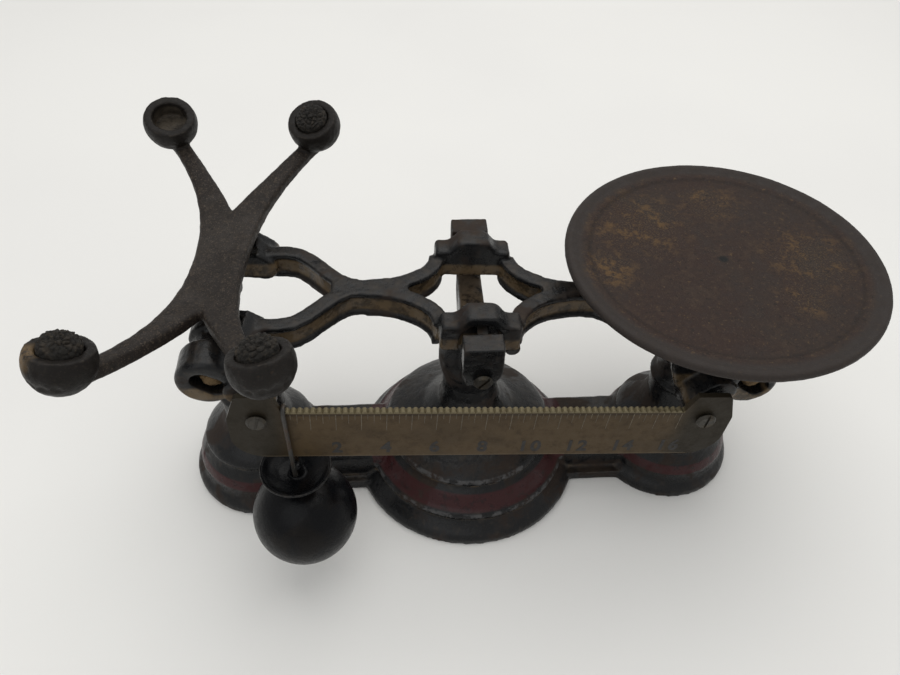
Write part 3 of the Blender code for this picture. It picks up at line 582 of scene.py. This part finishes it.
def plate_iron():
    """Maroon-brown plate with ochre patches, a greyer rim, painted shade in a ring just inside the rim
    and a small dark middle of painted shade.
    """
    low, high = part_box("weight_plate")
    x, y = RIGHT_AXIS.x, 0.0
    skin = Finish("plate_iron_worn", (0.025, 0.0140, 0.0108), specular=0.16)
    broad = skin.noise(24, 5, 0.6, 0.6)
    mottle = skin.noise(150, 7, 0.7)
    fine = skin.noise(1300, 4, 0.65)
    skin.layer(skin.between(broad, 0.44, 0.62), (0.024, 0.0165, 0.0135), 0.8)
    skin.layer(skin.between(mottle, 0.45, 0.68), (0.052, 0.036, 0.027), 0.6)
    patches = skin.any_of(
        skin.between(skin.from_axis(x + dx, y + dy), size * PATCH_CORE, size, 1.0, 0.0)
        for dx, dy, size in PATCHES)
    ochre = skin.both(patches, skin.between(mottle, 0.50, 0.62))
    skin.layer(ochre, (0.125, 0.070, 0.025), 0.55)
    skin.layer(skin.both(patches, skin.between(fine, 0.5, 0.62)), (0.13, 0.085, 0.035), 0.35)
    skin.layer(skin.between(fine, 0.59, 0.68), (0.11, 0.08, 0.05), 0.5)
    grit = skin.noise(420, 4, 0.7)
    skin.layer(skin.between(grit, 0.60, 0.68), (0.105, 0.066, 0.03), 0.55)
    skin.layer(skin.between(grit, 0.42, 0.36), (0.012, 0.009, 0.008), 0.7)
    rim = skin.between(skin.from_axis(x, y), *PLATE_RIM)
    skin.layer(rim, (0.030, 0.026, 0.024), 0.75)
    worn = skin.both(skin.edges(0.52, 0.57), skin.between(mottle, 0.4, 0.55))
    skin.layer(worn, (0.075, 0.064, 0.053), 0.6)
    upper = skin.between(skin.along(LEVEL), low.z, high.z - PLATE_FACE_DROP, 0.0, 1.0)
    # painted shade in a narrow ring on the upper face, just inside the rim
    groove_shade = skin.both(skin.band(skin.from_axis(x, y), *PLATE_GROOVE_SHADE, PLATE_GROOVE_SOFT), upper)
    skin.layer(groove_shade, (0.012, 0.009, 0.008), 0.45)
    # painted shade in the small hollow at the plate's middle
    dimple_shade = skin.between(skin.from_axis(x, y), *PLATE_DIMPLE_SHADE, 1.0, 0.0)
    skin.layer(dimple_shade, (0.01, 0.01, 0.01))
    rough = skin.between(mottle, 0.3, 0.7, 0.46, 0.72)
    return skin.done(rough, [(broad, 0.0006), (mottle, 0.0005), (grit, 0.0002), (fine, 0.00012)])


def spider_iron(cups):
    """Brown-black iron with light specks, darker cups, a dusty empty cup and one tan stain."""
    skin = Finish("spider_iron_worn", (0.0135, 0.0102, 0.0084), specular=0.16)
    broad = skin.noise(30, 5, 0.6, 0.3)
    mottle = skin.noise(230, 7, 0.7)
    fine = skin.noise(1700, 3, 0.6)
    skin.layer(skin.between(broad, 0.45, 0.6), (0.026, 0.0215, 0.0185), 0.85)
    skin.layer(skin.between(mottle, 0.5, 0.7), (0.045, 0.036, 0.028), 0.55)
    skin.layer(skin.between(fine, 0.58, 0.68), (0.13, 0.10, 0.075), 0.6)
    grit = skin.noise(480, 5, 0.7)
    skin.layer(skin.between(grit, 0.57, 0.66), (0.062, 0.048, 0.035), 0.7)
    skin.layer(skin.between(grit, 0.42, 0.36), (0.007, 0.006, 0.005), 0.7)
    bowls = skin.any_of(
        skin.between(skin.from_point(cup), *BOWL_R, 1.0, 0.0) for cup in cups.values())
    skin.layer(bowls, (0.0060, 0.0050, 0.0043), 0.8)
    inside = skin.between(skin.from_point(cups["rear_left"]), *EMPTY_CUP_R, 1.0, 0.0)
    floor = skin.both(inside, skin.between(mottle, 0.3, 0.62))
    skin.layer(floor, (0.085, 0.07, 0.052), 0.6)
    stain_at = cups["front_left"] + STAIN_OFFSET
    stain = skin.both(skin.between(skin.from_point(stain_at), *STAIN_R, 1.0, 0.0),
                      skin.between(mottle, 0.36, 0.55))
    skin.layer(stain, (0.17, 0.115, 0.06), 0.8)
    worn = skin.both(skin.edges(0.525, 0.57), skin.between(mottle, 0.42, 0.56))
    skin.layer(worn, (0.07, 0.058, 0.046), 0.6)
    hollow = skin.between(skin.geometry.outputs["Pointiness"], 0.48, 0.44)
    skin.layer(hollow, (0.055, 0.038, 0.024), 0.5)
    rough = skin.between(mottle, 0.3, 0.75, 0.36, 0.66)
    return skin.done(rough, [(broad, 0.0006), (mottle, 0.0004), (grit, 0.0002), (fine, 0.00008)])


def poise_iron():
    """Glossy black poise with faint brown wear and a painted highlight along its edges."""
    skin = Finish("poise_iron_gloss", (0.0026, 0.0028, 0.0036), specular=0.12, coat=0.02)
    broad = skin.noise(45, 5, 0.6, 0.3)
    mottle = skin.noise(260, 6, 0.65)
    fine = skin.noise(1600, 3, 0.6)
    skin.layer(skin.between(broad, 0.52, 0.66), (0.006, 0.0048, 0.0042), 0.8)
    skin.layer(skin.between(mottle, 0.6, 0.75), (0.016, 0.013, 0.011), 0.5)
    # painted highlight: a thin bright line along the flange's edges, broken up in patches
    skin.layer(skin.both(skin.edges(0.54, 0.6), skin.between(mottle, 0.35, 0.5)),
               (0.11, 0.10, 0.09), 0.8)
    rough = skin.between(mottle, 0.3, 0.75, 0.2, 0.42)
    return skin.done(rough, [(broad, 0.0005), (mottle, 0.00015), (fine, 0.00003)])


def old_brass():
    """Olive-brown tarnished brass, greyer at the ends, with a painted highlight on the teeth and on the
    lower edge, and a painted shade just under the teeth.
    """
    brass = Finish("old_brass_tarnished", (0.068, 0.046, 0.024), metallic=0.2, specular=0.12)
    broad = brass.noise(32, 5, 0.6, 0.4)
    mottle = brass.noise(230, 7, 0.7)
    fine = brass.noise(1500, 4, 0.65)
    brass.layer(brass.between(broad, 0.45, 0.62), (0.050, 0.034, 0.018), 0.8)
    brass.layer(brass.between(mottle, 0.5, 0.7), (0.042, 0.029, 0.018), 0.7)
    brass.layer(brass.between(fine, 0.62, 0.72), (0.17, 0.135, 0.09), 0.4)
    reach = brass.math("ABSOLUTE", brass.along(ALONG, PIVOT), 0.0)
    brass.layer(brass.between(reach, *BRASS_ENDS), (0.015, 0.0135, 0.010), 0.85)
    height = brass.along(UP, PIVOT)
    middle = brass.between(reach, *BRASS_MIDDLE, 1.0, 0.0)
    # painted highlight where the light catches the tops of the teeth
    teeth = brass.both(brass.between(height, *BRASS_TEETH_HIGHLIGHT), middle)
    brass.layer(brass.both(teeth, brass.between(mottle, 0.3, 0.55, 0.5, 1.0)),
                (0.17, 0.145, 0.088), 0.8)
    # painted shade in a band just under the teeth
    under = brass.band(height, *BRASS_UNDER_SHADE, BRASS_UNDER_SOFT)
    brass.layer(brass.both(under, middle), (0.028, 0.02, 0.013), 0.7)
    # painted highlight along the lower edge of the brass
    brass.layer(brass.between(height, *BRASS_LOWER_EDGE_HIGHLIGHT), (0.13, 0.10, 0.065), 0.6)
    rough = brass.between(mottle, 0.3, 0.7, 0.36, 0.6)
    return brass.done(rough, [(broad, 0.0002), (mottle, 0.00012), (fine, 0.00005)])


def stamped_marks(name, colour, light):
    """Colour that fills the stamped lines and numbers, patchy where it has rubbed off."""
    fill = Finish(name, colour, metallic=0.2)
    mottle = fill.noise(420, 5, 0.65)
    fine = fill.noise(1500, 3, 0.6)
    fill.layer(fill.between(mottle, 0.42, 0.66), light, 0.8)
    return fill.done(fill.between(mottle, 0.3, 0.7, 0.4, 0.65), [(fine, 0.00005)])


def dull_steel(name="dull_steel_worn", colour=(0.045, 0.043, 0.04), rust=(0.05, 0.03, 0.018)):
    """Dark bare steel with brown rust."""
    steel = Finish(name, colour, metallic=0.6)
    broad = steel.noise(110, 5, 0.6, 0.3)
    mottle = steel.noise(520, 6, 0.65)
    fine = steel.noise(2400, 3, 0.6)
    steel.layer(steel.between(broad, 0.46, 0.62), rust, 0.8)
    steel.layer(steel.between(mottle, 0.56, 0.72), (0.11, 0.10, 0.085), 0.6)
    rough = steel.between(mottle, 0.3, 0.7, 0.34, 0.62)
    return steel.done(rough, [(mottle, 0.00015), (fine, 0.00004)])


def crumbly_cork(name, edge):
    """Old blackened cork with brown crumbs and painted shade in the crevices between them."""
    cork = Finish(name, (0.0105, 0.0092, 0.0076), specular=0.3)
    broad = cork.noise(210, 6, 0.7, 0.5)
    mottle = cork.noise(640, 7, 0.75)
    fine = cork.noise(2600, 4, 0.7)
    cork.layer(cork.between(broad, 0.48, 0.62), (0.032, 0.025, 0.018), 0.8)
    cork.layer(cork.between(mottle, 0.56, 0.68), (0.10, 0.078, 0.052), edge)
    # painted shade darkening the crevices between the crumbs
    cork.layer(cork.between(cork.geometry.outputs["Pointiness"], 0.47, 0.40), (0.004, 0.0035, 0.003))
    rough = cork.between(mottle, 0.3, 0.7, 0.6, 0.9)
    return cork.done(rough, [(broad, 0.0010), (mottle, 0.0005), (fine, 0.0001)])


def caked_rust():
    """Tan and ochre rust caked in the pan pivots' pockets."""
    rust = Finish("caked_rust", (0.135, 0.088, 0.042), specular=0.25)
    broad = rust.noise(260, 6, 0.7, 0.4)
    mottle = rust.noise(900, 6, 0.7)
    fine = rust.noise(2600, 3, 0.6)
    rust.layer(rust.between(broad, 0.44, 0.62), (0.055, 0.033, 0.018), 0.85)
    rust.layer(rust.between(mottle, 0.58, 0.7), (0.27, 0.20, 0.12), 0.5)
    rough = rust.between(mottle, 0.3, 0.7, 0.7, 0.9)
    return rust.done(rough, [(broad, 0.0006), (mottle, 0.0003), (fine, 0.0001)])


def floor_paper():
    """Pale grey-white floor with a very faint unevenness."""
    paper = Finish("floor_paper", (0.80, 0.795, 0.775), specular=0.2)
    broad = paper.noise(3.0, 3, 0.5)
    fine = paper.noise(700, 3, 0.5)
    paper.layer(paper.between(broad, 0.35, 0.7), (0.76, 0.755, 0.74), 0.6)
    return paper.done(paper.between(fine, 0.3, 0.7, 0.6, 0.75), [(fine, 0.00004)])


# ---- pieces ------------------------------------------------------------------------------
def stands_for(piece, node, body, finish):
    """Puts a finished piece in a CAD node's place, riding on its body."""
    piece.data.materials.append(finish)
    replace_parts(piece, node)
    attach(piece, body)


def build_castings(iron, base_iron, beam_iron, plate, spider, gloss, cups):
    """All the castings. Lists of rounds are (x, y, radius, flats), of balls (centre, radius, depth)."""
    bell = (PIVOT.x, 0, BELL_R, BELL_STEPS)
    left = (PIVOT.x - ARM, 0, SIDE_R, SIDE_STEPS)
    right = (PIVOT.x + ARM, 0, SIDE_R, SIDE_STEPS)
    base = cast_skin("base_casting", (bell, left, right), mesh=lined_base())
    stands_for(base, "base_casting", "base", base_iron)
    beam = cast_skin("main_beam")
    stands_for(beam, "main_beam", "beam", beam_iron)
    disc = cast_skin("weight_plate", ((RIGHT_AXIS.x, 0, PLATE_R, PLATE_STEPS),))
    stands_for(disc, "weight_plate", "right_hanger", plate)
    balls = [(cup, CUP_R, CUP_FLAT_DEPTH) for cup in cups.values()]
    arms = cast_skin("spider", balls=balls, mesh=leaning_spider(cups))
    stands_for(arms, "spider", "left_hanger", spider)
    centre = (EYE.x, EYE.y, POISE_CENTRE_Z)
    weight = cast_skin("poise", ((EYE.x, EYE.y, POISE_NECK_R, POISE_STEPS),),
                       ((centre, POISE_R, POISE_FLAT_DEPTH),))
    stands_for(weight, "poise", "poise", gloss)
    for side in ("left", "right"):
        hanger = cast_skin(side + "_pan_hanger")
        stands_for(hanger, side + "_pan_hanger", side + "_hanger", iron)
    for side in ("front", "rear"):
        cap = cast_skin(side + "_bearing_cap")
        stands_for(cap, side + "_bearing_cap", "base", iron)
    lever = cast_skin("check_lever")
    stands_for(lever, "check_lever", "check_lever", iron)


def dress_cad_nodes(steel, brass, screw_steel, lead):
    """Materials for the CAD nodes that stay."""
    finishes = {"graduated_beam": brass, "poise_plug": lead}
    replaced = [name for obj in bpy.data.objects for name in obj.get("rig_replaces", [])]
    for name, node in frame["nodes"].items():
        if name in replaced:
            continue
        finish = finishes.get(name, screw_steel if name.endswith("screw") else steel)
        node.data.materials.clear()
        node.data.materials.append(finish)
        for polygon in node.data.polygons:
            polygon.material_index = 0


def build_cork(node, cups, finish, seed):
    """Crumbly domed plug made of lumps, in the place of the CAD plug."""
    low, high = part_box(node)
    middle = (low + high) / 2
    radius = (high.x - low.x) / 2
    rise = high.z - CUP_CENTRE_Z - CORK_SINK
    centre = Vector((middle.x, middle.y, high.z - rise + CORK_LIFT))
    turn = lean(cups[node.removesuffix("_cork")], cups)
    bm = bmesh.new()
    bmesh.ops.create_icosphere(bm, subdivisions=6, radius=1.0)
    for vert in bm.verts:
        flat = Vector((vert.co.x, vert.co.y, 0))
        blunt = math.copysign(abs(vert.co.z) ** CORK_BLUNTNESS, vert.co.z)
        top = blunt if blunt > 0 else CORK_UNDERSIDE * blunt
        shape = Vector((flat.x * radius, flat.y * radius, top * rise))
        there = shape + Vector((seed, 0, 0))
        cell = noise.voronoi(there * CRUMBS)[0]
        crumb = CRUMB_DEPTH * min(CRUMB_TOP, cell[1] - cell[0]) - CRUMB_SINK
        lump = crumb + CORK_LUMP_DEPTH * noise.noise(there * CORK_LUMPS)
        keep = max(0.0, 1.0 - flat.length ** 6)
        shape += vert.co.normalized() * (lump * (0.25 + 0.75 * keep))
        vert.co = turn @ (centre + shape)
    mesh = mesh_of(node + "_crumbly", bm)
    mesh.shade_smooth()
    piece = place(node + "_crumbly", mesh)
    stands_for(piece, node, "left_hanger", finish)


def build_graduations(finish):
    """Stamped lines hanging from the teeth, four to the ounce."""
    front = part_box("graduated_beam")[0].y
    bm = bmesh.new()
    for step in range(4 * OUNCES + 1):
        length = MARK_LENGTHS[step % 4]
        x = ZERO_MARK + step * OUNCE / 4
        half = MARK_HALF if step % 4 else OUNCE_MARK_HALF
        add_bar(bm, x, half, TOOTH_ROOT - MARK_DROP, TOOTH_ROOT - length, front)
    bmesh.ops.recalc_face_normals(bm, faces=bm.faces)
    mesh = mesh_of("beam_graduations", bm)
    mesh.materials.append(finish)
    lines = place("beam_graduations", mesh)
    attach(lines, "beam")


def add_bar(bm, x, half, top, bottom, front):
    """One thin line that tapers towards its foot."""
    foot = half * MARK_TAPER
    outline = ((x - half, top), (x + half, top), (x + foot, bottom), (x - foot, bottom))
    face = [bm.verts.new(beam_point(u, v, front - MARK_PROUD)) for u, v in outline]
    back = [bm.verts.new(beam_point(u, v, front + MARK_PROUD)) for u, v in outline]
    bm.faces.new(face)
    bm.faces.new(back[::-1])
    for i in range(4):
        j = (i + 1) % 4
        bm.faces.new((face[j], face[i], back[i], back[j]))


def build_numbers(finish):
    """Even ounces stamped low on the beam's front."""
    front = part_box("graduated_beam")[0].y
    narrow = Matrix.Diagonal((NUMBER_NARROWING, 1.0, 1.0, 1.0))
    bm = bmesh.new()
    for ounce in range(2, OUNCES + 1, 2):
        data = bpy.data.curves.new("number", "FONT")
        data.body = str(ounce)
        data.align_x = "CENTER"
        data.size = NUMBER_SIZE
        data.space_character = NUMBER_SPACING
        data.offset = NUMBER_WEIGHT
        data.extrude = MARK_PROUD
        source = place("number_source", data)
        graph = bpy.context.evaluated_depsgraph_get()
        mesh = bpy.data.meshes.new_from_object(source.evaluated_get(graph))
        mesh.transform(beam_frame(ZERO_MARK + ounce * OUNCE, NUMBER_FOOT, front) @ narrow)
        bm.from_mesh(mesh)
        bpy.data.objects.remove(source, do_unlink=True)
    joined = mesh_of("beam_numbers", bm)
    joined.materials.clear()
    joined.materials.append(finish)
    numbers = place("beam_numbers", joined)
    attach(numbers, "beam")


def build_caked_rust(finish, side, sign):
    """Rounded plug of rust in the front pocket of one end of the beam."""
    along, up, across = RUST_AT
    half_along, half_up, half_across = RUST_HALF
    (coarse, coarse_depth), (fine, fine_depth) = RUST_LUMPS
    centre = beam_point(sign * ARM + along, up, across)
    bm = bmesh.new()
    bmesh.ops.create_icosphere(bm, subdivisions=5, radius=1.0)
    for vert in bm.verts:
        shape = ALONG * (vert.co.x * half_along) + UP * (vert.co.z * half_up)
        shape += ACROSS * (vert.co.y * half_across)
        lump = coarse_depth * noise.noise((shape + centre) * coarse)
        lump += fine_depth * noise.noise(shape * fine)
        vert.co = centre + shape + shape.normalized() * lump
    mesh = mesh_of(side + "_pocket_rust", bm)
    mesh.shade_smooth()
    mesh.materials.append(finish)
    plug = place(side + "_pocket_rust", mesh)
    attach(plug, "beam")


# ---- stage -------------------------------------------------------------------------------
def build_floor():
    """Wide plain floor, kept out of the part itself."""
    bm = bmesh.new()
    bmesh.ops.create_grid(bm, x_segments=8, y_segments=8, size=FLOOR_HALF)
    mesh = mesh_of("floor", bm)
    mesh.materials.append(floor_paper())
    place("floor", mesh)


def area_light(name, at, towards, size, power, colour):
    """Round soft light at one point, aimed at another."""
    data = bpy.data.lights.new(name, "AREA")
    data.shape = "DISK"
    data.size = size
    data.energy = power
    data.color = colour
    lamp = place(name, data)
    lamp.location = at
    lamp.rotation_euler = (Vector(towards) - Vector(at)).to_track_quat("-Z", "Y").to_euler()


def build_lights():
    """Bright surround, with a soft key light above and behind and a weaker fill in front."""
    world = bpy.data.worlds.new("soft_studio")
    world.use_nodes = True
    sky = world.node_tree.nodes["Background"]
    sky.inputs["Color"].default_value = (1.0, 0.995, 0.98, 1.0)
    sky.inputs["Strength"].default_value = SKY_STRENGTH
    bpy.context.scene.world = world
    area_light("key", KEY_AT, KEY_TOWARDS, KEY_SIZE, KEY_POWER, (1.0, 0.99, 0.97))
    area_light("fill", FILL_AT, FILL_TOWARDS, FILL_SIZE, FILL_POWER, (0.95, 0.98, 1.0))


def build_camera():
    """The photo's viewpoint."""
    data = bpy.data.cameras.new("photo_view")
    data.sensor_width = CAMERA_SENSOR
    data.lens = CAMERA_LENS
    data.clip_start = CAMERA_NEAR
    camera = place("photo_view", data)
    back = CAMERA_RIGHT.cross(-CAMERA_DOWN)
    turn = Matrix((CAMERA_RIGHT, -CAMERA_DOWN, back)).transposed().to_4x4()
    camera.matrix_world = Matrix.Translation(CAMERA_AT) @ turn
    bpy.context.scene.camera = camera


def cup_centres():
    """Middle of each cup's ball, from the plugs and, for the empty cup, from their pattern."""
    spots = {}
    for name in ("front_left", "front_right", "rear_right"):
        low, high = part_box(name + "_cork")
        spots[name] = Vector(((low.x + high.x) / 2, (low.y + high.y) / 2, CUP_CENTRE_Z))
    spots["rear_left"] = spots["front_left"] + spots["rear_right"] - spots["front_right"]
    spots["rear_left"].z = CUP_CENTRE_Z
    return spots


cups = cup_centres()
build_castings(japanned("japanned_iron"), japanned("japanned_base", extra=base_marks),
               japanned("japanned_beam", extra=beam_marks), plate_iron(), spider_iron(cups),
               poise_iron(), cups)
build_cork("front_left_cork", cups, crumbly_cork("cork_front_left", 0.8), 0.1)
build_cork("front_right_cork", cups, crumbly_cork("cork_front_right", 0.45), 0.2)
build_cork("rear_right_cork", cups, crumbly_cork("cork_rear_right", 0.4), 0.3)
dress_cad_nodes(dull_steel(), old_brass(),
                dull_steel("screw_steel", (0.038, 0.034, 0.028), (0.045, 0.034, 0.02)),
                dull_steel("lead_grey", (0.07, 0.07, 0.072), (0.045, 0.043, 0.04)))
build_graduations(stamped_marks("graduation_fill", (0.06, 0.045, 0.028), (0.17, 0.14, 0.095)))
build_numbers(stamped_marks("number_fill", (0.0045, 0.003, 0.002), (0.009, 0.0065, 0.0045)))
build_caked_rust(caked_rust(), "left", -1)
build_caked_rust(caked_rust(), "right", 1)
build_floor()
build_lights()
build_camera()
bpy.context.scene.view_settings.view_transform = "Standard"
